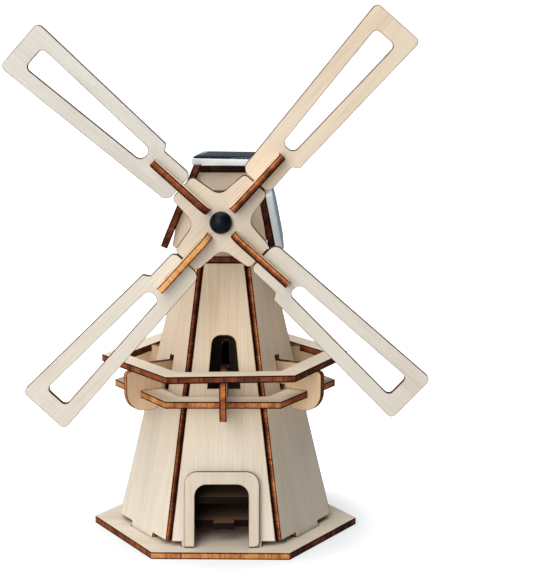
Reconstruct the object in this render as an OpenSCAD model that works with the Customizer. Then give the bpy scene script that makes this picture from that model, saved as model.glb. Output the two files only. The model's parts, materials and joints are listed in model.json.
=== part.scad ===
// Solar windmill kit: slotted plywood tower with a balcony, a small cap that carries two solar
// panels and a motor, and four sails on the motor's shaft.
// Millimetres, +Z up, origin at the centre of the base plate's underside, sails towards -Y.

/* [Plywood] */
// thickness of every plate
ply = 3; // [2.8:0.1:3.2]
// total play of a plate in its slot
slot_play = 0.2; // [0.2:0.05:0.4]

/* [Base and tower] */
// side of the hexagonal base plate
base_side = 58.5; // [57:0.5:64]
// turn of the base plate against the tower, degrees
base_turn = -1.3; // [-2:0.1:2]
// tower axis to the outer face of a wall panel, at the base plate
foot_apothem = 41.85; // [41:0.05:42.5]
// the same at the top of the tower
head_apothem = 17.85; // [17.5:0.05:18]
// height of the wall panels above the base plate
tower_h = 118.4; // [116:0.1:120]
// gap under the raised ends of a wall panel
foot_gap = 2; // [1:0.1:3]
// width of the tab in the middle of a wall panel's foot
foot_tab_w = 20; // [16:1:22]
// side of the hexagonal plate on top of the tower
head_side = 20.9; // [20.8:0.1:22]

/* [Doorway and window] */
// clear width of the doorway
door_w = 23; // [21:0.5:24]
// sideways place of the doorway
door_x = -0.8; // [-1:0.1:1]
// height of the doorway along the panel
door_h = 26.4; // [24:0.1:28]
// width of the door frame's two legs
frame_leg = 4.5; // [4:0.1:5]
// height of the door frame's lintel
frame_lintel = 5.5; // [5:0.1:6]
// height of the window sill above the base plate
window_low = 65.8; // [65.5:0.1:67]
// height of the window head above the base plate
window_high = 88.1; // [86:0.1:90]

/* [Balcony] */
// height of the upper ring's top above the base plate
ring_top = 75.4; // [74:0.1:76]
// side of the upper ring
ring_side = 54.2; // [53:0.1:55]
// turn of the upper ring on its brackets, degrees
ring_turn = 3.8; // [0:0.1:5]
// side of the lower ring
brace_side = 48.7; // [48:0.1:49]
// height of the lower ring's top above the base plate
brace_top = 63.3; // [63:0.1:64]
// tower axis to the outer end of a bracket
bracket_reach = 48.9; // [48.6:0.1:49.5]
// lowest point of a bracket above the base plate
bracket_low = 54.4; // [54:0.1:56]

/* [Cap] */
// lean of the left roof plate from upright, degrees
left_lean = 22.4; // [20:0.1:23]
// lean of the right roof plate from upright, degrees
right_lean = 11; // [10:0.1:14]
// height of the roof plate above the tower's top plate
cap_h = 35.6; // [35.4:0.1:37]
// depth of the roof plates, front to back
roof_depth = 30; // [28:1:34]
// length of the two leaning roof plates
slope_len = 38.7; // [36:0.1:38.8]

/* [Solar panels] */
// long side of a solar panel
panel_long = 30; // [28:0.5:30]
// short side of a solar panel
panel_short = 25; // [22:0.5:26]
// turn of the top panel on the roof, degrees
panel_turn = -9; // [-10:0.5:0]
// thickness of a solar panel's tray
tray_t = 2.8; // [2:0.1:3]
// thickness of the clear resin over the cell
resin_t = 1.1; // [0.6:0.1:1.4]

/* [Sails] */
// height of the shaft above the base plate
shaft_h = 141.1; // [140:0.1:142]
// sideways place of the shaft
shaft_x = -0.5; // [-1:0.1:1]
// tower axis to the back of the sails
sail_back = 51; // [50.5:0.1:53]
// shaft axis to the end of a sail
sail_reach = 107.8; // [100:0.1:110]
// turn of the sails away from a true diagonal cross, degrees
rest_turn = 2.8; // [0:0.1:45]
// how far each sail sits off the line of its slat within the play of the slots, degrees
sail_skew = [1.1, 0.8, -1.2, -1.3]; // [-1.3:0.1:1.3]
// height of the slats in front of the sails
slat_proud = 6.5; // [5:0.1:8]

/* [Motor] */
// motor can across its round sides
motor_d = 20; // [18:0.5:20]
// motor can across its flats
motor_flat = 15; // [14:0.5:16]
// length of the motor can
motor_len = 25; // [24:0.5:26]
// shaft diameter
shaft_d = 2; // [1.5:0.1:2.3]

/* [Hidden] */
eps = 0.05;
base_top = ply;
head_z = base_top + tower_h;             // underside of the tower's top plate
cap_z = head_z + ply;                    // floor of the cap
roof_z = cap_z + cap_h;                  // underside of the flat roof plate
shaft_z = base_top + shaft_h;
lean = atan((foot_apothem - head_apothem) / tower_h);
slot_w = ply + slot_play;
tab_depth = ply - 0.4;
wall_len = tower_h / cos(lean);
bracket_slot_low = base_top + 62.5;
bracket_slot_high = base_top + 77.2;
ring_band = 9;
brace_band = 9.7;
roof_left = -9.7;                        // left end of the flat roof plate
roof_right = 12.2;                       // right end of the flat roof plate
ridge_z = roof_z + ply - 0.1;            // top edge of the leaning roof plates
roof_tab = 8;                            // length of a gable's tab in a leaning roof plate
roof_tab_low = 18;                       // lower end of that tab, down the slope
lobe_z = cap_z + 2.4;                    // lowest edge of a gable beside its foot
gable_y = 8;                             // cap's middle to the inner face of a gable
motor_front = 27;                        // tower axis to the front of the motor can
motor_wall = 0.8;
bore_d = shaft_d + 0.1;
bush_d = shaft_d + 2.4;
bush_len = 2.4;
commutator_d = 4.6;
sleeve_r = 3;
head_r = 4.6;
rail = 6.1;                              // width of a sail's side rails
sail_root = 21.9;                        // shaft axis to the inner end of a sail
arm_end = 21.3;                          // shaft axis to the end of a cross arm
cross_tab = [10.5, 18];                  // a slat's tab in the cross, from and to
sail_tab = [25, 33];                     // a slat's tab in the sail, from and to
$fn = 64;

SIDES = ["front", "front_right", "back_right", "back", "back_left", "front_left"];
QUARTERS = ["upper_right", "upper_left", "lower_left", "lower_right"];

// ---- outlines with rounded corners: each point is [x, y, radius] ----

function unit(v) = v / norm(v);

function corner(p, before, after, steps) =
    let (
        at = [p[0], p[1]],
        a = unit([before[0], before[1]] - at),
        b = unit([after[0], after[1]] - at),
        half = acos(max(-1, min(1, a * b))) / 2,
        middle = at + unit(a + b) * p[2] / sin(half),
        first = at + a * p[2] / tan(half) - middle,
        last = at + b * p[2] / tan(half) - middle,
        start = atan2(first[1], first[0]),
        sweep = (atan2(last[1], last[0]) - start + 540) % 360 - 180
    )
    [for (i = [0 : steps]) middle + p[2] * [cos(start + sweep * i / steps), sin(start + sweep * i / steps)]];

function rounded(points, steps = 6) =
    let (n = len(points))
    [for (i = [0 : n - 1])
        each (points[i][2] > 0
            ? corner(points[i], points[(i + n - 1) % n], points[(i + 1) % n], steps)
            : [[points[i][0], points[i][1]]])];

module hexagon(side) {
    circle(r = side, $fn = 6);
}

module hex_plate(side, z, t = ply) {
    translate([0, 0, z])
        linear_extrude(t)
            hexagon(side);
}

// ---- base and tower ----

// wall panel's own plane: x across, y up the slope from the base plate, outer face on z = 0
module on_wall(turn, lift = 0) {
    rotate([0, 0, turn])
        translate([0, -foot_apothem, base_top])
            rotate([90 - lean, 0, 0])
                translate([0, 0, lift])
                    children();
}

function wall_half(up) = (foot_apothem - up * sin(lean) - ply * cos(lean)) * tan(30) - eps;

function front_tab_x(side) = door_x + side * (door_w / 2 + 3.4);

module foot_tab(x, w) {
    translate([x - w / 2, -tab_depth])
        square([w, tab_depth + foot_gap + 1]);
}

module wall_blank() {
    top = wall_len - eps;
    polygon([
        [-wall_half(foot_gap), foot_gap],
        [wall_half(foot_gap), foot_gap],
        [wall_half(top), top],
        [-wall_half(top), top]
    ]);
}

module bracket_slot() {
    low = (bracket_slot_low - base_top) / cos(lean);
    high = (bracket_slot_high - base_top) / cos(lean);
    translate([-slot_w / 2, low])
        square([slot_w, high - low]);
}

module doorway() {
    translate([door_x, 0])
        polygon(rounded([
            [-door_w / 2, -5, 0],
            [door_w / 2, -5, 0],
            [door_w / 2, door_h, 5],
            [-door_w / 2, door_h, 5]
        ]));
}

module window_hole() {
    polygon(rounded([
        [-7, window_low / cos(lean), 0],
        [7, window_low / cos(lean), 0],
        [4.85, window_high / cos(lean), 3.9],
        [-4.85, window_high / cos(lean), 3.9]
    ], 8));
}

module wall(turn) {
    on_wall(turn, -ply)
        linear_extrude(ply)
            difference() {
                union() {
                    wall_blank();
                    foot_tab(0, foot_tab_w);
                }
                bracket_slot();
            }
}

module front_wall() {
    on_wall(0, -ply)
        linear_extrude(ply)
            difference() {
                union() {
                    wall_blank();
                    for (side = [-1, 1])
                        foot_tab(front_tab_x(side), 4.5);
                }
                bracket_slot();
                doorway();
                window_hole();
            }
}

module door_frame() {
    half = door_w / 2 + frame_leg;
    top = door_h + frame_lintel;
    color("burlywood")
        on_wall(0)
            linear_extrude(ply)
                difference() {
                    translate([door_x, 0])
                        polygon(rounded([
                            [-half, eps, 0],
                            [half, eps, 1.8],
                            [half, top, 5.5],
                            [-half, top, 5.5]
                        ]));
                    doorway();
                }
}

// slot in the base plate for the foot tab of one panel
module foot_slot(x, w) {
    inner = foot_apothem - ply / cos(lean) - eps;
    outer = foot_apothem + tab_depth * tan(lean) + 2 * eps;
    translate([x - w / 2 - slot_play / 2, -outer])
        square([w + slot_play, outer - inner]);
}

module base_plate() {
    color("wheat")
        linear_extrude(base_top)
            difference() {
                rotate(base_turn)
                    hexagon(base_side);
                for (side = [-1, 1])
                    foot_slot(front_tab_x(side), 4.5);
                for (turn = [60 : 60 : 300])
                    rotate([0, 0, turn])
                        foot_slot(0, foot_tab_w);
            }
}

module lower_former() {
    level = base_top + 5.7;
    inside = foot_apothem - ply / cos(lean) - (level + ply - base_top) * tan(lean) - 2 * eps;
    color("tan")
        translate([0, 0, level])
            linear_extrude(ply) {
                hexagon((inside - 4.6) / cos(30));
                for (turn = [0 : 60 : 300])
                    rotate([0, 0, turn])
                        translate([-4.5, -inside])
                            square([9, 10]);
            }
}

module upper_former() {
    level = base_top + 16.6;
    inside = foot_apothem - ply / cos(lean) - (level + ply - base_top) * tan(lean) - 2 * eps;
    color("tan")
        hex_plate(inside / cos(30), level);
}

module tower_top_plate() {
    color("peru")
        difference() {
            hex_plate(head_side, head_z);
            for (y = [-gable_y - ply - slot_play / 2, gable_y - slot_play / 2])
                translate([-7 - slot_play / 2, y, head_z - 1])
                    cube([14 + slot_play, slot_w, ply + 2]);
        }
}

// ---- balcony ----

module ring(side, band, top) {
    translate([0, 0, base_top + top - ply])
        linear_extrude(ply)
            difference() {
                hexagon(side);
                hexagon(side - band / cos(30));
            }
}

module balcony_ring() {
    color("navajowhite")
        rotate([0, 0, ring_turn])
            ring(ring_side, ring_band, ring_top);
}

module balcony_brace_ring() {
    color("bisque")
        ring(brace_side, brace_band, brace_top);
}

// bracket profile: x outwards from the tower axis, y up from the base plate
module bracket_profile() {
    shoulder = ring_side * cos(30) - ring_band - eps;
    slot_end = brace_side * cos(30) + eps;
    slot_open = brace_side * cos(30) - brace_band;
    seat = ring_top - ply;
    polygon(rounded([
        [22, 65, 0],
        [31.3, 65, 0],
        [31.3, brace_top + eps, 0],
        [slot_end, brace_top + eps, 0],
        [slot_end, brace_top - ply - eps, 0],
        [slot_open, brace_top - ply - eps, 0],
        [slot_open, bracket_low, 4.8],
        [bracket_reach, bracket_low, 8.5],
        [bracket_reach, seat, 2],
        [shoulder, seat, 0],
        [shoulder, ring_top - 0.2, 0],
        [22, ring_top - 0.2, 0]
    ], 8));
}

module bracket(turn) {
    color("sandybrown")
        rotate([0, 0, turn - 90])
            translate([0, ply / 2, base_top])
                rotate([90, 0, 0])
                    linear_extrude(ply)
                        bracket_profile();
}

// ---- cap ----

// inner face of a leaning roof plate at height z
function left_inner(z) = roof_left - (ridge_z - z) * tan(left_lean);
function right_inner(z) = roof_right + (ridge_z - z) * tan(right_lean);

// plane of a leaning roof plate: x out of the inner face, z down the slope is negative
module on_left_slope() {
    translate([roof_left, 0, ridge_z])
        rotate([0, left_lean, 0])
            mirror([1, 0, 0])
                children();
}

module on_right_slope() {
    translate([roof_right, 0, ridge_z])
        rotate([0, -right_lean, 0])
            children();
}

module slope_plate() {
    difference() {
        translate([0, -roof_depth / 2, -slope_len])
            cube([ply, roof_depth, slope_len]);
        for (y = [-gable_y - ply - slot_play / 2, gable_y - slot_play / 2])
            translate([-1, y, -roof_tab_low - slot_play / 2])
                cube([ply + 2, slot_w, roof_tab + slot_play]);
    }
}

module roof_left_plate() {
    color("sienna")
        level_top()
            on_left_slope()
                slope_plate();
}

module roof_right_plate() {
    color("sienna")
        level_top()
            on_right_slope()
                slope_plate();
}

// planes a leaning plate off, so that the top panel lies flat over it
module level_top() {
    difference() {
        children();
        translate([-50, -50, roof_z + ply - eps])
            cube([100, 100, 10]);
    }
}

module roof_flat_plate() {
    color("chocolate")
        difference() {
            translate([roof_left + eps, -roof_depth / 2, roof_z])
                cube([roof_right - roof_left - 2 * eps, roof_depth, ply]);
            for (y = [-gable_y - ply - slot_play / 2, gable_y - slot_play / 2])
                translate([-5 - slot_play / 2, y, roof_z - 1])
                    cube([10 + slot_play, slot_w, ply + 2]);
        }
}

// gable profile: x across, y is the real height
module gable_profile() {
    knee = cap_z + 10.9;
    tab = ply - 0.2;
    polygon(rounded([
        [-12, lobe_z, 0],
        [-12, cap_z, 0],
        [-7, cap_z, 0],
        [-7, cap_z - tab, 0],
        [7, cap_z - tab, 0],
        [7, cap_z, 0],
        [12, cap_z, 0],
        [12, lobe_z, 0],
        [right_inner(lobe_z) - 0.6, lobe_z, 1.2],
        [right_inner(knee) - eps, knee, 0],
        [right_inner(roof_z) - eps, roof_z, 0],
        [5, roof_z, 0],
        [5, roof_z + tab, 0],
        [-5, roof_z + tab, 0],
        [-5, roof_z, 0],
        [left_inner(roof_z) + eps, roof_z, 0],
        [left_inner(knee) + eps, knee, 0],
        [left_inner(lobe_z) + 2.1, lobe_z, 1.6]
    ], 5));
    translate([roof_left, ridge_z])
        rotate(-left_lean)
            translate([-tab, -roof_tab_low])
                square([tab + 1, roof_tab]);
    translate([roof_right, ridge_z])
        rotate(right_lean)
            translate([-1, -roof_tab_low])
                square([tab + 1, roof_tab]);
}

module gable(front_y) {
    translate([0, front_y + ply, 0])
        rotate([90, 0, 0])
            linear_extrude(ply)
                children();
}

module gable_front() {
    color("tan")
        gable(-gable_y - ply)
            difference() {
                gable_profile();
                translate([shaft_x, shaft_z])
                    motor_section(slot_play / 2);
            }
}

module gable_back() {
    color("tan")
        gable(gable_y)
            difference() {
                gable_profile();
                translate([0, cap_z + 8])
                    circle(r = 3);
            }
}

// ---- solar panels: tray with the cell under a pillow of clear resin ----

module tray() {
    color("white")
        linear_extrude(tray_t)
            panel_outline(0, 1);
}

module cell() {
    color("midnightblue")
        translate([0, 0, tray_t])
            linear_extrude(resin_t)
                panel_outline(0.3, 2.4);
}

module panel_outline(inset, r) {
    w = panel_long / 2 - inset;
    d = panel_short / 2 - inset;
    polygon(rounded([[-w, -d, r], [w, -d, r], [w, d, r], [-w, d, r]], 5));
}

// the panel's front left corner stays put when the panel is turned
module top_panel_place() {
    translate([roof_left - 4.2, -panel_short / 2, roof_z + ply])
        rotate(panel_turn)
            translate([panel_long / 2, panel_short / 2, 0])
                children();
}

module side_panel_place() {
    on_right_slope()
        translate([ply, 0, panel_short / 2 + 0.4 - slope_len])
            rotate([0, 90, 0])
                rotate([0, 0, 90])
                    children();
}

module top_panel_tray() {
    top_panel_place()
        tray();
}

module top_panel_cell() {
    top_panel_place()
        cell();
}

module side_panel_tray() {
    side_panel_place()
        tray();
}

module side_panel_cell() {
    side_panel_place()
        cell();
}

// ---- motor: every part below is turned so that its z runs forward along the shaft ----

module on_shaft(y) {
    translate([shaft_x, y, shaft_z])
        rotate([90, 0, 0])
            children();
}

module motor_section(grow = 0) {
    intersection() {
        circle(d = motor_d + 2 * grow);
        square([motor_d + 2, motor_flat + 2 * grow], center = true);
    }
}

motor_rear = motor_len - motor_front;    // y of the can's open rear end
end_cap_t = 2;

module motor_can() {
    color("silver")
        on_shaft(motor_rear)
            difference() {
                union() {
                    linear_extrude(motor_len)
                        motor_section();
                    cylinder(d = bush_d + 1.6, h = motor_len + bush_len - motor_wall);
                }
                translate([0, 0, -1])
                    linear_extrude(motor_len - motor_wall + 1)
                        motor_section(-motor_wall);
                cylinder(d = bush_d, h = motor_len + 3);
            }
}

module motor_magnets() {
    outer = motor_d / 2 - motor_wall - eps;
    color("dimgray")
        on_shaft(motor_rear - 4)
            intersection() {
                difference() {
                    cylinder(r = outer, h = 15);
                    translate([0, 0, -1])
                        cylinder(r = outer - 1.8, h = 17);
                }
                translate([-motor_d, -5.5, 0])
                    cube([2 * motor_d, 11, 15]);
            }
}

module motor_end_cap() {
    color("ivory")
        on_shaft(motor_rear + end_cap_t)
            difference() {
                union() {
                    linear_extrude(end_cap_t - eps)
                        motor_section();
                    linear_extrude(end_cap_t + 1.5)
                        motor_section(-motor_wall - eps);
                    translate([0, 0, -1.4])
                        cylinder(d = bush_d + 2, h = 2);
                }
                translate([0, 0, -0.7])
                    cylinder(d = bush_d, h = 6);
                translate([0, 0, bush_len - 0.7])
                    cylinder(d = commutator_d + 3, h = 6);
            }
}

// both bushes, rear one in the end cap and front one in the can's nose
module motor_bushes() {
    color("goldenrod")
        for (y = [motor_rear + end_cap_t + 0.7, motor_wall - motor_front])
            on_shaft(y)
                difference() {
                    cylinder(d = bush_d, h = bush_len - eps);
                    translate([0, 0, -1])
                        cylinder(d = bore_d, h = bush_len + 2);
                }
}

// one springy strip on each side of the commutator
module motor_brushes() {
    color("orange")
        for (side = [-1, 1])
            on_shaft(motor_rear - 1.5)
                translate([-3.4, side * (commutator_d / 2 + 0.25) - 0.15, 0])
                    cube([6.8, 0.3, 1.8]);
}

module motor_terminals() {
    color("gold")
        for (x = [-5, 5])
            translate([shaft_x + x - 1, motor_rear + end_cap_t, shaft_z - 0.25])
                cube([2, 3, 0.5]);
}

module motor_shaft() {
    color("lightgray")
        on_shaft(motor_rear + 2.4)
            cylinder(d = shaft_d, h = sail_back + ply + 2.4 + motor_rear + 2.4);
}

module motor_armature() {
    color("orangered")
        on_shaft(motor_rear - 2.2)
            difference() {
                union() {
                    cylinder(d = commutator_d, h = 3);
                    translate([0, 0, 3])
                        cylinder(d = 12.6, h = 14);
                }
                translate([0, 0, -1])
                    cylinder(d = shaft_d + 0.04, h = 20);
                for (turn = [0 : 120 : 240])
                    rotate([0, 0, turn])
                        translate([4, -0.9, 2])
                            cube([4, 1.8, 16]);
            }
}

// ---- sails: z = 0 is the back face of the sails ----

module on_rotor(turn = 0) {
    on_shaft(-sail_back)
        rotate([0, 0, rest_turn + turn])
            children();
}

module hub_cap() {
    color("darkslategray")
        on_shaft(-sail_back)
            rotate_extrude()
                hub_profile();
}

// radius against distance forward of the sails' back face
module hub_profile() {
    bore_r = shaft_d / 2 + 0.02;
    tip = ply + 4.3;
    difference() {
        union() {
            translate([0, motor_front + 3 - sail_back])
                square([sleeve_r, sail_back - motor_front - 3 + ply + 0.5]);
            polygon(concat(
                [[0, ply], [head_r, ply], [head_r, ply + 0.9]],
                [for (a = [10 : 10 : 90]) [head_r * cos(a), ply + 0.9 + (tip - ply - 0.9) * sin(a)]]
            ));
        }
        translate([-1, motor_front + 2 - sail_back])
            square([bore_r + 1, sail_back - motor_front - 2 + ply + 2.6]);
    }
}

module slat_slot(tab) {
    translate([tab[0] - slot_play / 2, -slot_w / 2])
        square([tab[1] - tab[0] + slot_play, slot_w]);
}

module sail_cross() {
    arm = 6.2;
    valley = 7.8;
    color("antiquewhite")
        on_rotor(45)
            linear_extrude(ply)
                difference() {
                    polygon(rounded([for (k = [0 : 3]) each [
                        turned([arm_end, -arm, 2.2], 90 * k),
                        turned([arm_end, arm, 2.2], 90 * k),
                        turned([valley, valley, 4.6], 90 * k)
                    ]]));
                    circle(r = sleeve_r + 0.05);
                    for (turn = [0 : 90 : 270])
                        rotate(turn)
                            slat_slot(cross_tab);
                }
}

function turned(p, a) = [p[0] * cos(a) - p[1] * sin(a), p[0] * sin(a) + p[1] * cos(a), p[2]];

// slat profile: x outwards from the shaft, y forward of the sails' back face
module slat_profile() {
    polygon(rounded([
        [6.7, ply, 0],
        [37, ply, 0],
        [37, ply + slat_proud, 0.4],
        [6.7, ply + slat_proud, 5.2]
    ], 8));
    for (tab = [cross_tab, sail_tab])
        translate([tab[0], 0.2])
            square([tab[1] - tab[0], ply]);
}

module slat(quarter) {
    color("saddlebrown")
        on_rotor(45 + 90 * quarter)
            translate([0, ply / 2, 0])
                rotate([90, 0, 0])
                    linear_extrude(ply)
                        slat_profile();
}

// half width of a sail at distance r from the shaft
function sail_half(r) = 8.5 + 0.0383 * (r - 24);

module sail_outline() {
    polygon(rounded([
        [sail_root, -6.25, 2.6],
        [36, -6.25, 0.9],
        [37.7, -sail_half(37.7), 1],
        [sail_reach, -sail_half(sail_reach), 2.4],
        [sail_reach, sail_half(sail_reach), 2.4],
        [sail_root, sail_half(sail_root), 3.6]
    ]));
}

module sail_hollow() {
    outer = sail_reach - 7.8;
    inner = 40.6;
    polygon(rounded([
        [inner, -sail_half(inner) + rail, 2.8],
        [outer, -sail_half(outer) + rail, 2.2],
        [outer, sail_half(outer) - rail, 2.2],
        [inner, sail_half(inner) - rail, 2.8]
    ]));
}

// turned by its skew about the middle of its slot
module sail(quarter) {
    pivot = (sail_tab[0] + sail_tab[1]) / 2;
    color("blanchedalmond")
        on_rotor(45 + 90 * quarter)
            translate([pivot, 0, 0])
                rotate([0, 0, sail_skew[quarter]])
                    translate([-pivot, 0, 0])
                        linear_extrude(ply)
                            difference() {
                                sail_outline();
                                sail_hollow();
                                slat_slot(sail_tab);
                            }
}

// ---- what is drawn ----

base_plate();
door_frame();
lower_former();
upper_former();
tower_top_plate();
color("linen") front_wall();  // wall_front
for (k = [1 : 5])
    color("linen") wall(60 * k);
balcony_ring();
balcony_brace_ring();
for (k = [0 : 5])
    bracket(60 * k);
gable_front();
gable_back();
roof_left_plate();
roof_right_plate();
roof_flat_plate();
top_panel_tray();
top_panel_cell();
side_panel_tray();
side_panel_cell();
motor_can();
motor_magnets();
motor_end_cap();
motor_bushes();
motor_brushes();
motor_terminals();
motor_shaft();
motor_armature();
hub_cap();
sail_cross();
for (k = [0 : 3])
    slat(k);
for (k = [0 : 3])
    sail(k);
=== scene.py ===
import json
import math

import bmesh
import bpy
from mathutils import Matrix, Vector


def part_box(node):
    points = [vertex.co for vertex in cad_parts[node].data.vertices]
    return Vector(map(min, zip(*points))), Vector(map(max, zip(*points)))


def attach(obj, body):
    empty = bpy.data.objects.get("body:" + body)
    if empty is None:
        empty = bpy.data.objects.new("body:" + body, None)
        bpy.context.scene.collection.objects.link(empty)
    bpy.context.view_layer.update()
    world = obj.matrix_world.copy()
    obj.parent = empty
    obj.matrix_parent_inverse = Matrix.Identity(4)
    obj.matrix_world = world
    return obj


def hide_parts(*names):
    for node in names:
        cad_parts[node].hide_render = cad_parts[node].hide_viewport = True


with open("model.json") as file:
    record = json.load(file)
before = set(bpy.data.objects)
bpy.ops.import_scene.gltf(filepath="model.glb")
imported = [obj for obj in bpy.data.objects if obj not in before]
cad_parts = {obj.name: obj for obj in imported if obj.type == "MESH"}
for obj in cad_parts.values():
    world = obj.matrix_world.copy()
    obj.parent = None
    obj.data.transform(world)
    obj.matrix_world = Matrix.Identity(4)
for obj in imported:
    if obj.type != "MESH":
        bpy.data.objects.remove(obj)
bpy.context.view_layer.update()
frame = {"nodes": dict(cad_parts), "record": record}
nodes = frame["nodes"]
bodies = frame["record"]["behaviour"]["bodies"]

MM = 0.001
SIDES = ["front", "front_right", "back_right", "back", "back_left", "front_left"]
QUARTERS = ["upper_right", "upper_left", "lower_left", "lower_right"]
ARRIS = 0.12 * MM            # how far the laser rounds a plate's outline
HALO = 0.35 * MM             # width of the brown halo that the laser leaves on a face
SHEET = 3 * MM               # thickness of the plywood
SHARP = math.radians(32)     # a bend above this is an edge, below it a curve
SLOT_REACH = 2.2 * MM        # a slat's mid-plane to just outside its slot

ACROSS = Vector((1, 0, 0))
DEEP = Vector((0, 1, 0))
UP = Vector((0, 0, 1))


# ---- camera, light and floor ----

def add_camera():
    """A long lens 0.8 m in front of the tower, tilted down ten degrees."""
    data = bpy.data.cameras.new("camera")
    data.sensor_fit = "HORIZONTAL"
    data.sensor_width = 36
    data.lens = 119.4
    data.clip_start = 0.05
    data.clip_end = 20
    camera = bpy.data.objects.new("camera", data)
    camera.location = (0.01583, -0.78849, 0.24928)
    heading = Matrix.Rotation(math.radians(-0.448), 4, "Z")
    pitch = Matrix.Rotation(math.radians(90 - 10.122), 4, "X")
    roll = Matrix.Rotation(math.radians(0.144), 4, "Z")
    camera.rotation_euler = (heading @ pitch @ roll).to_euler()
    bpy.context.scene.collection.objects.link(camera)
    bpy.context.scene.camera = camera


def add_softbox(name, place, width, power, colour):
    """A square lamp of some watts, turned to the middle of the tower."""
    aim = Vector((0, 0, 0.1))
    data = bpy.data.lights.new(name, "AREA")
    data.shape = "SQUARE"
    data.size = width
    data.energy = power
    data.color = colour
    light = bpy.data.objects.new(name, data)
    light.location = place
    light.rotation_euler = (aim - Vector(place)).to_track_quat("-Z", "Y").to_euler()
    bpy.context.scene.collection.objects.link(light)


def add_world():
    """White behind the object, and for everything else a soft dome that is dimmer on the right."""
    world = bpy.data.worlds.new("studio")
    world.use_nodes = True
    tree = world.node_tree
    dome = tree.nodes["Background"]
    direction = tree.nodes.new("ShaderNodeTexCoord").outputs["Generated"]
    parts = tree.nodes.new("ShaderNodeSeparateXYZ")
    tree.links.new(direction, parts.inputs[0])
    strength = remap(tree, parts.outputs["X"], -0.6, 0.7, 0.5, 0.12)
    tree.links.new(strength, dome.inputs["Strength"])
    dome.inputs["Color"].default_value = (0.95, 0.98, 1, 1)
    white = tree.nodes.new("ShaderNodeBackground")
    white.inputs["Strength"].default_value = 1.3
    seen = tree.nodes.new("ShaderNodeLightPath").outputs["Is Camera Ray"]
    blend = tree.nodes.new("ShaderNodeMixShader")
    tree.links.new(seen, blend.inputs["Fac"])
    tree.links.new(dome.outputs[0], blend.inputs[1])
    tree.links.new(white.outputs[0], blend.inputs[2])
    tree.links.new(blend.outputs[0], tree.nodes["World Output"].inputs["Surface"])
    bpy.context.scene.world = world


def add_floor():
    """Seen as white, but for a faint shadow close to the base, where its glow is turned down: lamp
    shadow and painted shade. It lights the object only a little.
    """
    painted_shade_end = 0.055
    white_from = 0.1
    mesh = bpy.data.meshes.new("floor")
    bm = bmesh.new()
    bmesh.ops.create_grid(bm, x_segments=1, y_segments=1, size=4)
    bm.to_mesh(mesh)
    bm.free()
    material, shader = new_material("floor")
    tree = material.node_tree
    distance = tree.nodes.new("ShaderNodeVectorMath")
    distance.operation = "LENGTH"
    tree.links.new(object_place(tree), distance.inputs[0])
    # the glow is lowest near the base: a ring of painted shade around it, which also lets the lamps'
    # shadow show
    glow = remap(tree, distance.outputs["Value"], painted_shade_end, white_from, 0.42, 1.0)
    seen = tree.nodes.new("ShaderNodeLightPath").outputs["Is Camera Ray"]
    glow = add_up(tree, 0.12, (glow, seen))
    tree.links.new(glow, shader.inputs["Emission Strength"])
    shader.inputs["Base Color"].default_value = (0.44, 0.45, 0.46, 1)
    shader.inputs["Roughness"].default_value = 0.9
    shader.inputs["Emission Color"].default_value = (0.96, 0.98, 1, 1)
    material.cycles.emission_sampling = "NONE"    # sampling the floor as a lamp only adds noise
    mesh.materials.append(material)
    floor = bpy.data.objects.new("floor", mesh)
    bpy.context.scene.collection.objects.link(floor)


def add_studio():
    warm = (1, 0.985, 0.955)
    bpy.context.scene.view_settings.view_transform = "Standard"
    add_world()
    add_floor()
    add_softbox("key", (-0.5, -0.85, 1.0), 0.8, 6, warm)
    add_softbox("overhead", (-0.1, 0, 1.3), 0.9, 9.5, (1, 0.985, 0.96))
    add_softbox("low_front", (-0.42, -1.1, 0.33), 0.7, 6, warm)


# ---- small helpers for node trees ----

def paint(red, green, blue):
    """A colour given as a paint maker does, 0 to 255, as linear light."""
    def linear(value):
        value = value / 255
        return value / 12.92 if value <= 0.04045 else ((value + 0.055) / 1.055) ** 2.4
    return (linear(red), linear(green), linear(blue), 1)


def feed(tree, value, socket):
    """Sets a socket to a number or colour, or links another socket to it."""
    if isinstance(value, bpy.types.NodeSocket):
        tree.links.new(value, socket)
    else:
        socket.default_value = value


def calc(tree, operation, a, b=0.0):
    node = tree.nodes.new("ShaderNodeMath")
    node.operation = operation
    feed(tree, a, node.inputs[0])
    feed(tree, b, node.inputs[1])
    return node.outputs[0]


def scaled(tree, value, weight):
    """A value times its weight."""
    return calc(tree, "MULTIPLY", value, weight)


def add_up(tree, start, *weighted):
    """A start value plus pairs of a value and its weight."""
    total = start
    for value, weight in weighted:
        total = calc(tree, "ADD", total, scaled(tree, value, weight))
    return total


def about_zero(tree, value):
    """A value from 0 to 1, shifted to swing about 0."""
    return calc(tree, "SUBTRACT", value, 0.5)


def remap(tree, value, low, high, to_low=0.0, to_high=1.0):
    """A smooth step from one range to another, level outside it."""
    node = tree.nodes.new("ShaderNodeMapRange")
    node.interpolation_type = "SMOOTHSTEP"
    feed(tree, value, node.inputs["Value"])
    node.inputs["From Min"].default_value = low
    node.inputs["From Max"].default_value = high
    node.inputs["To Min"].default_value = to_low
    node.inputs["To Max"].default_value = to_high
    return node.outputs["Result"]


def blend_colours(tree, factor, a, b, mode="MIX"):
    node = tree.nodes.new("ShaderNodeMix")
    node.data_type = "RGBA"
    node.blend_type = mode
    feed(tree, factor, node.inputs["Factor"])
    feed(tree, a, node.inputs["A"])
    feed(tree, b, node.inputs["B"])
    return node.outputs["Result"]


def stretched(tree, place, scales):
    node = tree.nodes.new("ShaderNodeVectorMath")
    node.operation = "MULTIPLY"
    feed(tree, place, node.inputs[0])
    node.inputs[1].default_value = scales
    return node.outputs[0]


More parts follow.
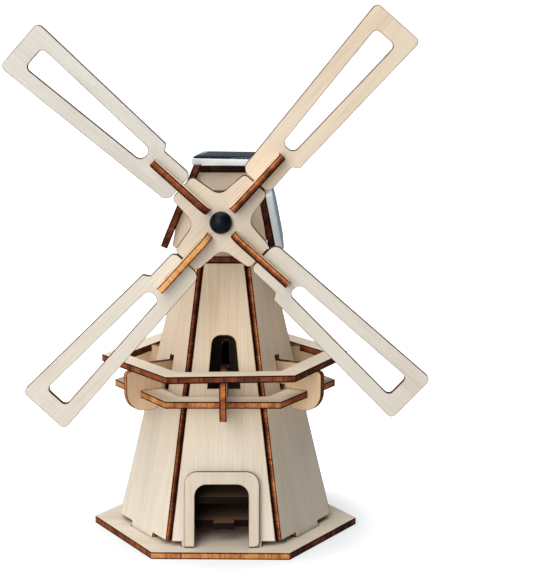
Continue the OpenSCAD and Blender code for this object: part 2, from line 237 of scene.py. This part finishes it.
def cloud(tree, place, scales, detail, roughness):
    """Noise from 0 to 1, with its own frequency, in blotches per metre, on each axis."""
    node = tree.nodes.new("ShaderNodeTexNoise")
    feed(tree, stretched(tree, place, scales), node.inputs["Vector"])
    node.inputs["Scale"].default_value = 1
    node.inputs["Detail"].default_value = detail
    node.inputs["Roughness"].default_value = roughness
    return node.outputs["Fac"]


def ramp(tree, value, stops):
    """Colours along a value, each stop being (position, colour)."""
    node = tree.nodes.new("ShaderNodeValToRGB")
    elements = node.color_ramp.elements
    elements[0].position, elements[0].color = stops[0]
    elements[1].position, elements[1].color = stops[-1]
    for position, colour in stops[1:-1]:
        element = elements.new(position)
        element.color = colour
    feed(tree, value, node.inputs["Fac"])
    return node.outputs["Color"]


def bump(tree, height, depth, strength):
    node = tree.nodes.new("ShaderNodeBump")
    node.inputs["Strength"].default_value = strength
    node.inputs["Distance"].default_value = depth
    feed(tree, height, node.inputs["Height"])
    return node.outputs["Normal"]


def attribute(tree, name, output="Fac"):
    node = tree.nodes.new("ShaderNodeAttribute")
    node.attribute_name = name
    return node.outputs[output]


def object_place(tree):
    return tree.nodes.new("ShaderNodeTexCoord").outputs["Object"]


def new_material(name):
    material = bpy.data.materials.new(name)
    material.use_nodes = True
    return material, material.node_tree.nodes["Principled BSDF"]


def open_group(name):
    """A new shader group and the place on the surface that it is given."""
    tree = bpy.data.node_groups.new(name, "ShaderNodeTree")
    tree.interface.new_socket("Place", in_out="INPUT", socket_type="NodeSocketVector")
    return tree, tree.nodes.new("NodeGroupInput").outputs["Place"]


def close_group(tree, **masks):
    """Gives the group one output for each named mask."""
    for label in masks:
        tree.interface.new_socket(label, in_out="OUTPUT", socket_type="NodeSocketFloat")
    result = tree.nodes.new("NodeGroupOutput")
    for label, mask in masks.items():
        tree.links.new(mask, result.inputs[label])
    return tree


def place_group(tree, group, place):
    node = tree.nodes.new("ShaderNodeGroup")
    node.node_tree = group
    tree.links.new(place, node.inputs["Place"])
    return node.outputs


# ---- effects that several materials share ----

def wood_figure():
    """Basswood veneer: fine fibres along x, broad bands, and short dark pores."""
    tree, place = open_group("wood_figure")
    fibres = cloud(tree, place, (45, 1500, 1500), 2, 0.6)
    bands = cloud(tree, place, (14, 150, 150), 3, 0.5)
    patches = cloud(tree, place, (22, 34, 34), 2, 0.5)
    figure = add_up(tree, scaled(tree, fibres, 0.46), (bands, 0.3), (patches, 0.24))
    pores = remap(tree, cloud(tree, place, (260, 3000, 3000), 1, 0.5), 0.64, 0.78)
    height = add_up(tree, fibres, (pores, -0.7))
    return close_group(tree, Figure=figure, Pores=pores, Height=height)


def laser_soot():
    """Soot that a laser leaves: blotches, fine speckle, and dashes and streaks through the sheet."""
    tree, place = open_group("laser_soot")
    blotches = cloud(tree, place, (170, 170, 90), 4, 0.6)
    speckle = cloud(tree, place, (1700, 1700, 1700), 3, 0.65)
    dashes = cloud(tree, place, (1900, 1900, 130), 2, 0.5)
    streaks = remap(tree, cloud(tree, place, (420, 420, 12), 1, 0.5), 0.68, 0.74)
    return close_group(tree, Blotches=blotches, Speckle=speckle, Dashes=dashes, Streaks=streaks)


def surface_wear():
    """Faint handling marks for plastic and metal: hazy patches, hair scratches and fine grit."""
    tree, place = open_group("surface_wear")
    haze = cloud(tree, place, (160, 160, 160), 4, 0.6)
    scratches = remap(tree, cloud(tree, place, (4200, 300, 900), 2, 0.5), 0.66, 0.74)
    grit = cloud(tree, place, (5200, 5200, 5200), 2, 0.5)
    return close_group(tree, Haze=haze, Scratches=scratches, Grit=grit)


FIGURE = wood_figure()
SOOT = laser_soot()
WEAR = surface_wear()


# ---- plywood ----

def plywood_face():
    """The pale broad face of a plate, browned along its outline."""
    material, shader = new_material("plywood_face")
    tree = material.node_tree
    place = attribute(tree, "sheet_place", "Vector")
    halo = attribute(tree, "halo")
    shade_and_dimming = attribute(tree, "shade_and_dimming")
    figure = place_group(tree, FIGURE, place)
    soot = place_group(tree, SOOT, place)
    colour = ramp(tree, figure["Figure"], [
        (0.3, paint(238, 229, 215)),
        (0.5, paint(229, 218, 201)),
        (0.7, paint(213, 199, 177)),
    ])
    tint = ramp(tree, attribute(tree, "tone_and_shade"), [
        (0.0, paint(236, 243, 255)),
        (0.3, paint(255, 255, 255)),
        (1.0, paint(255, 226, 192)),
    ])
    # the tint is the plate's own tone, and on the walls also painted shade that darkens them towards the
    # cap
    colour = blend_colours(tree, 1.0, colour, tint, "MULTIPLY")
    colour = blend_colours(tree, scaled(tree, figure["Pores"], 0.3), colour, paint(184, 156, 122))
    stain = remap(tree, soot["Blotches"], 0.55, 0.8, 0, 0.12)
    colour = blend_colours(tree, stain, colour, paint(216, 190, 152))
    patchy = remap(tree, soot["Blotches"], 0.3, 0.62, 0.25, 1)
    scorch = scaled(tree, calc(tree, "MULTIPLY", halo, patchy), 0.72)
    colour = blend_colours(tree, scorch, colour, paint(170, 112, 66))
    # painted shade of the tower's dark inside, and an even darkening on the door frame, cross and sails
    colour = blend_colours(tree, scaled(tree, shade_and_dimming, 0.9), colour, paint(84, 56, 42))
    tree.links.new(colour, shader.inputs["Base Color"])
    tree.links.new(remap(tree, figure["Figure"], 0.3, 0.7, 0.55, 0.72), shader.inputs["Roughness"])
    tree.links.new(bump(tree, figure["Height"], 0.03 * MM, 0.4), shader.inputs["Normal"])
    shader.inputs["Specular IOR Level"].default_value = 0.3
    return material


def plywood_edge():
    """The laser-cut edge: three plies, glue lines and soot that is heaviest at the two faces, with
    painted shade on the lower half, inside the tower and on edges facing right.
    """
    material, shader = new_material("plywood_edge")
    tree = material.node_tree
    place = attribute(tree, "sheet_place", "Vector")
    burn_and_shade = attribute(tree, "burn_and_shade")
    soot = place_group(tree, SOOT, place)
    parts = tree.nodes.new("ShaderNodeSeparateXYZ")
    tree.links.new(place, parts.inputs[0])
    depth = calc(tree, "DIVIDE", parts.outputs["Z"], SHEET)
    off_middle = calc(tree, "ABSOLUTE", about_zero(tree, depth))
    off_middle = add_up(tree, off_middle, (about_zero(tree, soot["Speckle"]), 0.1))
    rim = remap(tree, off_middle, 0.26, 0.39)
    glue = add_up(tree, remap(tree, off_middle, 0.15, 0.19), (remap(tree, off_middle, 0.19, 0.23), -1))
    core = remap(tree, off_middle, 0.21, 0.15)
    char_and_shade = add_up(
        tree, burn_and_shade,
        # painted shade on the lower half of the edge, which on the walls is the half towards the dark
        # inside
        (calc(tree, "SUBTRACT", 0.5, depth), attribute(tree, "lower_half_shade")),
        (attribute(tree, "shade_and_dimming"), 0.7),
        (about_zero(tree, soot["Blotches"]), 0.85),
        (about_zero(tree, soot["Dashes"]), 0.45),
        (about_zero(tree, soot["Speckle"]), 0.4),
        (rim, 0.62),
        (soot["Streaks"], 0.3),
        (glue, 0.12),
        (core, 0.06),
    )
    colour = ramp(tree, char_and_shade, [
        (0.0, paint(232, 178, 116)),
        (0.22, paint(208, 138, 76)),
        (0.42, paint(164, 88, 48)),
        (0.62, paint(110, 52, 30)),
        (0.82, paint(56, 27, 18)),
        (1.0, paint(26, 15, 12)),
    ])
    tree.links.new(colour, shader.inputs["Base Color"])
    tree.links.new(remap(tree, char_and_shade, 0.2, 0.9, 0.7, 0.9), shader.inputs["Roughness"])
    rough = add_up(tree, soot["Dashes"], (soot["Speckle"], 0.6), (glue, -0.4))
    tree.links.new(bump(tree, rough, 0.08 * MM, 0.6), shader.inputs["Normal"])
    shader.inputs["Specular IOR Level"].default_value = 0.12
    return material


PLY_FACE = plywood_face()
PLY_EDGE = plywood_edge()


# ---- making pieces from the frame's nodes ----

def merged_copy(node):
    """A node's loose triangles joined into whole flat faces."""
    bm = bmesh.new()
    bm.from_mesh(nodes[node].data)
    bmesh.ops.remove_doubles(bm, verts=bm.verts, dist=0.001 * MM)
    bmesh.ops.dissolve_limit(bm, angle_limit=math.radians(0.3), verts=bm.verts, edges=bm.edges)
    return bm


def sharp_edges(bm):
    """The edges that a hand would feel, not the facets of a curve."""
    return [edge for edge in bm.edges if len(edge.link_faces) == 2 and edge.calc_face_angle() > SHARP]


def nowhere(vertex):
    """The test for a plate with no tight slots."""
    return False


def ease_edges(bm, width, segments=2, left_sharp=nowhere):
    """Rounds the edges, but for those at vertices to be left sharp."""
    chosen = [edge for edge in sharp_edges(bm) if not any(left_sharp(vertex) for vertex in edge.verts)]
    bmesh.ops.bevel(
        bm, geom=chosen, offset=width, segments=segments, profile=0.5,
        affect="EDGES", clamp_overlap=False, material=-1,
    )


def smooth_curves(bm):
    """Smooth shading that stops at the edges."""
    for face in bm.faces:
        face.smooth = True
    for edge in sharp_edges(bm):
        edge.smooth = False


def add_piece(node, bm, materials):
    """Turns a worked mesh into the piece that stands for a node and moves with the node's body."""
    mesh = bpy.data.meshes.new(node + ".piece")
    bm.to_mesh(mesh)
    bm.free()
    for material in materials:
        mesh.materials.append(material)
    piece = bpy.data.objects.new(node + ".piece", mesh)
    bpy.context.scene.collection.objects.link(piece)
    body = next(name for name, members in bodies.items() if node in members)
    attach(piece, body)
    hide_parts(node)
    return piece


def sheet_axes(bm, grain):
    """Along the grain, across it, and through the sheet, upwards if the sheet lies or leans."""
    normal = max(bm.faces, key=lambda face: face.calc_area()).normal.copy()
    if normal.z < 0:
        normal.negate()
    along = (grain - normal * grain.dot(normal)).normalized()
    return along, normal.cross(along), normal


def write_place(bm, axes, serial=0):
    """Stores each vertex's place along and across the grain and through the sheet.

    The serial number shifts the grain, so that no two plates are alike.
    """
    layer = bm.verts.layers.float_vector.new("sheet_place")
    along, across, normal = axes
    back = min(vertex.co.dot(normal) for vertex in bm.verts)
    shift = Vector((0.137 * serial, 0.061 * serial, 0))
    for vertex in bm.verts:
        place = Vector((vertex.co.dot(along), vertex.co.dot(across), vertex.co.dot(normal) - back))
        vertex[layer] = place + shift


def write_value(bm, name, value):
    """Stores one number for each vertex: a constant, or what a function of the vertex gives."""
    layer = bm.verts.layers.float.new(name)
    for vertex in bm.verts:
        vertex[layer] = value(vertex) if callable(value) else value


def write_burn_and_shade(bm, burn_and_shade, fits):
    """How burnt each cut face is: a plate's own burn, more on what faces right as painted shade, little
    inside slots.
    """
    layer = bm.faces.layers.float.new("burn_and_shade")
    for face in bm.faces:
        # edges turned to the right get painted shade
        own = burn_and_shade(face.normal) if callable(burn_and_shade) else burn_and_shade + 0.12 * face.normal.x
        face[layer] = 0.1 if all(fits(vertex) for vertex in face.verts) else own


def is_broad(face, normal):
    """Whether a face is one of a plate's two flat sides."""
    return abs(face.normal.dot(normal)) > 0.999


def cut_plate(node, grain, burn_and_shade, tone_and_shade, lower_half_shade=0.0, shade_and_dimming=0.0, fits=nowhere):
    """One laser-cut plate: eased outline, browned halo on both faces, burnt edge.

    Tone goes from 0, cool and pale, to 1, tan; on the walls it also carries painted shade.
    Lopsided paints shade on the lower half of the edge, and smoke darkens face and edge: painted
    shade inside the tower, and an even darkening on the door frame, cross and sails.  Fits tells
    which vertices belong to tight slots, which show no burn.
    """
    bm = merged_copy(node)
    axes = sheet_axes(bm, grain)
    normal = axes[2]
    ease_edges(bm, ARRIS, left_sharp=fits)
    bm.normal_update()
    broad = [face for face in bm.faces if is_broad(face, normal)]
    bmesh.ops.inset_region(bm, faces=broad, thickness=HALO, use_boundary=True, use_even_offset=True)
    bm.normal_update()
    for vertex in bm.verts:
        vertex.tag = False
    for face in broad:
        for vertex in face.verts:
            vertex.tag = True
    for face in bm.faces:
        face.material_index = 0 if is_broad(face, normal) else 1
    write_place(bm, axes, list(nodes).index(node))
    write_burn_and_shade(bm, burn_and_shade, fits)
    write_value(bm, "halo", lambda vertex: 0.0 if vertex.tag or fits(vertex) else 1.0)
    write_value(bm, "tone_and_shade", tone_and_shade)
    write_value(bm, "lower_half_shade", lower_half_shade)
    write_value(bm, "shade_and_dimming", shade_and_dimming)
    smooth_curves(bm)
    return add_piece(node, bm, [PLY_FACE, PLY_EDGE])


def shaped_piece(node, material, ease=0.15 * MM, segments=2):
    """A moulded, turned or pressed part with eased edges."""
    bm = merged_copy(node)
    ease_edges(bm, ease, segments)
    smooth_curves(bm)
    return add_piece(node, bm, [material])


# ---- tower and balcony ----

def inner_painted_shade(strength):
    """Painted shade on what faces the tower's axis, for the tower's dark inside."""
    def shade_and_dimming(vertex):
        outward = Vector((vertex.co.x, vertex.co.y, 0))
        return strength if vertex.normal.dot(outward) < 0 else 0.0
    return shade_and_dimming


def share(value, low, high):
    """How far a value has come from low to high, from 0 to 1."""
    return max(0.0, min(1.0, (value - low) / (high - low)))


def axis_painted_shade(vertex):
    """Painted shade for the tower's dark inside, fading out with the distance from the tower's axis."""
    distance = Vector((vertex.co.x, vertex.co.y)).length
    return share(distance, 33 * MM, 27 * MM)


def wall_tone_and_shade(vertex):
    """Walls darken to tan under the cap, as painted shade of the cap and sails, and are paler towards
    the ground.
    """
    return 0.3 + 0.35 * share(vertex.co.z, 30 * MM, 90 * MM)


def base_burn_and_shade(normal):
    """The base's front edge is only browned; its slanting edges are darker as painted shade, the right
    one most.
    """
    return 0.2 + 0.42 * abs(normal.x) + 0.12 * normal.x


def make_tower():
    cut_plate("base_plate", ACROSS, base_burn_and_shade, 0.35)
    cut_plate("door_frame", UP, 0.6, 0.4, shade_and_dimming=0.15)
    # the formers deep inside the tower are darkened as painted shade
    cut_plate("lower_former", ACROSS, 0.9, 1, shade_and_dimming=0.95)
    cut_plate("upper_former", ACROSS, 0.95, 1, shade_and_dimming=0.95)
    cut_plate("tower_top_plate", ACROSS, 0.55, 0.6)
    for side in SIDES:
        # walls: painted shade on their inner faces, on the inner half of their edges and towards the cap
        cut_plate("wall_" + side, UP, 0.55, wall_tone_and_shade, lower_half_shade=1.0, shade_and_dimming=inner_painted_shade(0.85))
        cut_plate("bracket_" + side, UP, 0.36, 0.85, shade_and_dimming=axis_painted_shade)
    cut_plate("balcony_ring", ACROSS, 0.55, 0.4)
    cut_plate("balcony_brace_ring", ACROSS, 0.3, 0.4)


# ---- cap ----

def make_cap():
    """The little house on top: two gables under three roof plates."""
    cut_plate("gable_front", UP, 0.5, 0.5)
    cut_plate("gable_back", UP, 0.5, 0.6)
    cut_plate("roof_left_plate", UP, 0.62, 0.6)
    cut_plate("roof_right_plate", UP, 0.75, 0.6)
    # its edge is burnt near black: burn, with painted shade under the tray's front
    cut_plate("roof_flat_plate", ACROSS, 0.95, 0.6)


# ---- solar panels ----

def white_tray():
    """Satin white plastic with a fine grit."""
    material, shader = new_material("white_tray")
    tree = material.node_tree
    wear = place_group(tree, WEAR, object_place(tree))
    colour = ramp(tree, wear["Haze"], [(0.3, paint(238, 240, 240)), (0.7, paint(218, 224, 227))])
    tree.links.new(colour, shader.inputs["Base Color"])
    tree.links.new(remap(tree, wear["Grit"], 0.3, 0.7, 0.38, 0.52), shader.inputs["Roughness"])
    tree.links.new(bump(tree, wear["Grit"], 0.02 * MM, 0.3), shader.inputs["Normal"])
    return material


def resin_cell():
    """Dark silicon strips with silver fingers, under clear resin with a pale lip along two sides: the
    white board seen through thin resin, and a painted reflection.
    """
    material, shader = new_material("resin_cell")
    tree = material.node_tree
    place = attribute(tree, "sheet_place", "Vector")
    wear = place_group(tree, WEAR, place)
    parts = tree.nodes.new("ShaderNodeSeparateXYZ")
    tree.links.new(place, parts.inputs[0])

    def lines(value, pitch, width):
        """1 on thin soft-edged lines that repeat every pitch."""
        phase = calc(tree, "FRACT", calc(tree, "DIVIDE", value, pitch))
        off = calc(tree, "ABSOLUTE", about_zero(tree, phase))
        half = 0.5 * width / pitch
        return remap(tree, off, 1.3 * half, 0.7 * half)

    fingers = lines(parts.outputs["X"], 1.25 * MM, 0.07 * MM)
    strips = lines(parts.outputs["Y"], 6 * MM, 0.35 * MM)
    silicon = ramp(tree, wear["Haze"], [
        (0.3, paint(6, 14, 24)),
        (0.6, paint(11, 25, 38)),
        (0.8, paint(18, 38, 56)),
    ])
    colour = blend_colours(tree, scaled(tree, fingers, 0.3), silicon, paint(90, 104, 118))
    colour = blend_colours(tree, scaled(tree, strips, 0.5), colour, paint(110, 124, 138))
    glints = remap(tree, wear["Grit"], 0.68, 0.74)
    colour = blend_colours(tree, scaled(tree, glints, 0.3), colour, paint(130, 150, 170))
    dashes = lines(parts.outputs["X"], 1.7 * MM, 0.5 * MM)
    # pale dashes by the near side: cell lines seen through the resin, with painted reflection on them
    near_lip_and_sheen = remap(tree, attribute(tree, "to_far_side"), -0.88, -0.97, 0, 0.4)
    near_lip_and_sheen = calc(tree, "MULTIPLY", near_lip_and_sheen, dashes)
    lip_and_sheen = calc(tree, "MAXIMUM", attribute(tree, "clear_lip_and_sheen"), near_lip_and_sheen)
    # the lip's pale colour is painted reflection, partly the white board seen through thin resin
    colour = blend_colours(tree, scaled(tree, lip_and_sheen, 0.85), colour, paint(176, 200, 214))
    tree.links.new(colour, shader.inputs["Base Color"])
    tree.links.new(remap(tree, wear["Haze"], 0.3, 0.7, 0.2, 0.3), shader.inputs["Roughness"])
    tree.links.new(bump(tree, wear["Haze"], 0.1 * MM, 0.25), shader.inputs["Normal"])
    shader.inputs["Specular IOR Level"].default_value = 0.02
    shader.inputs["Coat Weight"].default_value = 0.025
    shader.inputs["Coat Roughness"].default_value = 0.05
    return material


def domed_cell(node, long_side, outward, material, lip_and_sheen):
    """The resin pillow: a low rim, then rings that shrink and rise to a flat crown.

    Lip gives 1 where the pale lip is painted, a painted reflection that is partly the white
    board seen through thin resin, from a place along and across the panel that runs from -1 to 1 each
    way.
    """
    rings = 9
    reach = 6.5 * MM
    bm = merged_copy(node)
    top = max(bm.faces, key=lambda face: (round(face.normal.dot(outward), 2), face.calc_area()))
    normal = top.normal.copy()
    along = (long_side - normal * long_side.dot(normal)).normalized()
    across = normal.cross(along)
    centre = top.calc_center_bounds()
    depths = [vertex.co.dot(normal) for vertex in bm.verts]
    thickness = max(depths) - min(depths)
    half_long = max(abs((vertex.co - centre).dot(along)) for vertex in top.verts)
    half_short = max(abs((vertex.co - centre).dot(across)) for vertex in top.verts)
    to_panel = Matrix((along, across, normal)).to_4x4() @ Matrix.Translation(-centre)
    rim = 0.35 * thickness
    bmesh.ops.translate(bm, verts=top.verts, vec=normal * (rim - thickness))
    level, inset = rim, 0.0
    for ring in range(1, rings + 1):
        angle = math.radians(90 * ring / rings)
        next_level = rim + (thickness - rim) * math.sin(angle)
        next_inset = reach * (1 - math.cos(angle))
        made = bmesh.ops.extrude_discrete_faces(bm, faces=[top])
        top = made["faces"][0]
        shrink = (
            (half_long - next_inset) / (half_long - inset),
            (half_short - next_inset) / (half_short - inset),
            1,
        )
        bmesh.ops.scale(bm, vec=shrink, space=to_panel, verts=top.verts)
        bmesh.ops.translate(bm, verts=top.verts, vec=normal * (next_level - level))
        level, inset = next_level, next_inset
    bm.normal_update()

    def far_along(vertex):
        return (vertex.co - centre).dot(along) / half_long

    def far_across(vertex):
        return (vertex.co - centre).dot(across) / half_short

    write_place(bm, (along, across, normal))
    write_value(bm, "to_far_side", far_across)
    write_value(bm, "clear_lip_and_sheen", lambda vertex: lip_and_sheen(far_along(vertex), far_across(vertex)))
    smooth_curves(bm)
    return add_piece(node, bm, [material])


def make_panels():
    tray = white_tray()
    cell = resin_cell()
    for panel in ("top_panel", "side_panel"):
        shaped_piece(panel + "_tray", tray, 0.3 * MM, 3)
    # the lip is painted on the top panel's far side and the side panel's front end, where reflection
    # falls
    domed_cell("top_panel_cell", ACROSS, UP, cell, lambda along, across: 1.0 if across > 0.6 else 0.0)
    domed_cell("side_panel_cell", DEEP, ACROSS, cell, lambda along, across: 1.0 if along < -0.7 else 0.0)


# ---- motor ----

def metal(name, dark, light, low, high):
    """Bare metal between two colours, with a roughness from low to high."""
    material, shader = new_material(name)
    tree = material.node_tree
    wear = place_group(tree, WEAR, object_place(tree))
    colour = blend_colours(tree, wear["Haze"], dark, light)
    colour = blend_colours(tree, scaled(tree, wear["Scratches"], 0.3), colour, light)
    tree.links.new(colour, shader.inputs["Base Color"])
    tree.links.new(remap(tree, wear["Haze"], 0.3, 0.7, low, high), shader.inputs["Roughness"])
    tree.links.new(bump(tree, wear["Scratches"], 0.01 * MM, 0.4), shader.inputs["Normal"])
    shader.inputs["Metallic"].default_value = 1
    return material


def moulded(name, dark, light, low, high):
    """Plastic or sintered stuff between two colours, with a roughness from low to high."""
    material, shader = new_material(name)
    tree = material.node_tree
    wear = place_group(tree, WEAR, object_place(tree))
    tree.links.new(blend_colours(tree, wear["Haze"], dark, light), shader.inputs["Base Color"])
    roughness = add_up(tree, remap(tree, wear["Haze"], 0.3, 0.7, low, high), (wear["Scratches"], 0.1))
    tree.links.new(roughness, shader.inputs["Roughness"])
    tree.links.new(bump(tree, wear["Grit"], 0.01 * MM, 0.25), shader.inputs["Normal"])
    return material


def make_motor():
    steel = metal("zinc_steel", paint(150, 150, 152), paint(198, 200, 202), 0.28, 0.42)
    brass = metal("brass", paint(170, 128, 66), paint(214, 178, 108), 0.25, 0.4)
    copper = metal("winding_copper", paint(120, 56, 28), paint(190, 104, 60), 0.3, 0.5)
    ferrite = moulded("ferrite", paint(34, 34, 37), paint(56, 56, 60), 0.6, 0.8)
    nylon = moulded("nylon", paint(206, 203, 190), paint(226, 224, 214), 0.45, 0.6)
    shaped_piece("motor_can", steel, 0.3 * MM, 3)
    shaped_piece("motor_shaft", steel)
    shaped_piece("motor_magnets", ferrite)
    shaped_piece("motor_end_cap", nylon, 0.2 * MM)
    for node in ("motor_bushes", "motor_brushes", "motor_terminals"):
        shaped_piece(node, brass, 0.05 * MM)
    shaped_piece("motor_armature", copper, 0.1 * MM)


# ---- sails ----

def slat_frame(quarter):
    """A slat's centre, the direction out of its broad side, its own length and half of it."""
    mesh = nodes["slat_" + quarter].data
    places = [vertex.co for vertex in mesh.vertices]
    centre = sum(places, Vector()) / len(places)
    side = max(mesh.polygons, key=lambda polygon: polygon.area).normal.copy()
    along = side.cross(DEEP).normalized()
    reach = max(abs((place - centre).dot(along)) for place in places)
    return centre, side, along, reach


SLAT_FRAMES = [slat_frame(quarter) for quarter in QUARTERS]


def in_slat_slot(vertex):
    """Whether a vertex of a sail or the cross belongs to a slot that a slat's tab fills."""
    for centre, side, along, reach in SLAT_FRAMES:
        off = vertex.co - centre
        if abs(off.dot(side)) < SLOT_REACH and abs(off.dot(along)) < reach:
            return True
    return False


def middle(node):
    """The centre of a node's box."""
    low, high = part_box(node)
    return (low + high) / 2


def make_sails():
    black = moulded("hub_black", paint(4, 10, 17), paint(8, 19, 29), 0.3, 0.42)
    black.node_tree.nodes["Principled BSDF"].inputs["Specular IOR Level"].default_value = 0.12
    shaped_piece("hub_cap", black, 0.2 * MM, 3)
    slat_burn = {"upper_right": 0.52, "upper_left": 0.5, "lower_left": 0.0, "lower_right": 0.45}
    # how much painted shade falls on the lower half of each slat's edge
    slat_lower_half_shade = {"upper_right": 0.9, "upper_left": 0.3, "lower_left": 0.1, "lower_right": 0.9}
    sail_tone = {"upper_right": 0.5, "upper_left": 0.05, "lower_left": 0.2, "lower_right": 0.15}
    cut_plate("sail_cross", ACROSS + UP, 0.5, 0.4, shade_and_dimming=0.18, fits=in_slat_slot)
    for quarter in QUARTERS:
        outward = middle("sail_" + quarter) - middle("motor_shaft")
        cut_plate("sail_" + quarter, outward, 0.6, sail_tone[quarter], shade_and_dimming=0.04, fits=in_slat_slot)
        cut_plate("slat_" + quarter, outward, slat_burn[quarter], 0.6, lower_half_shade=slat_lower_half_shade[quarter])


add_camera()
add_studio()
make_tower()
make_cap()
make_panels()
make_motor()
make_sails()
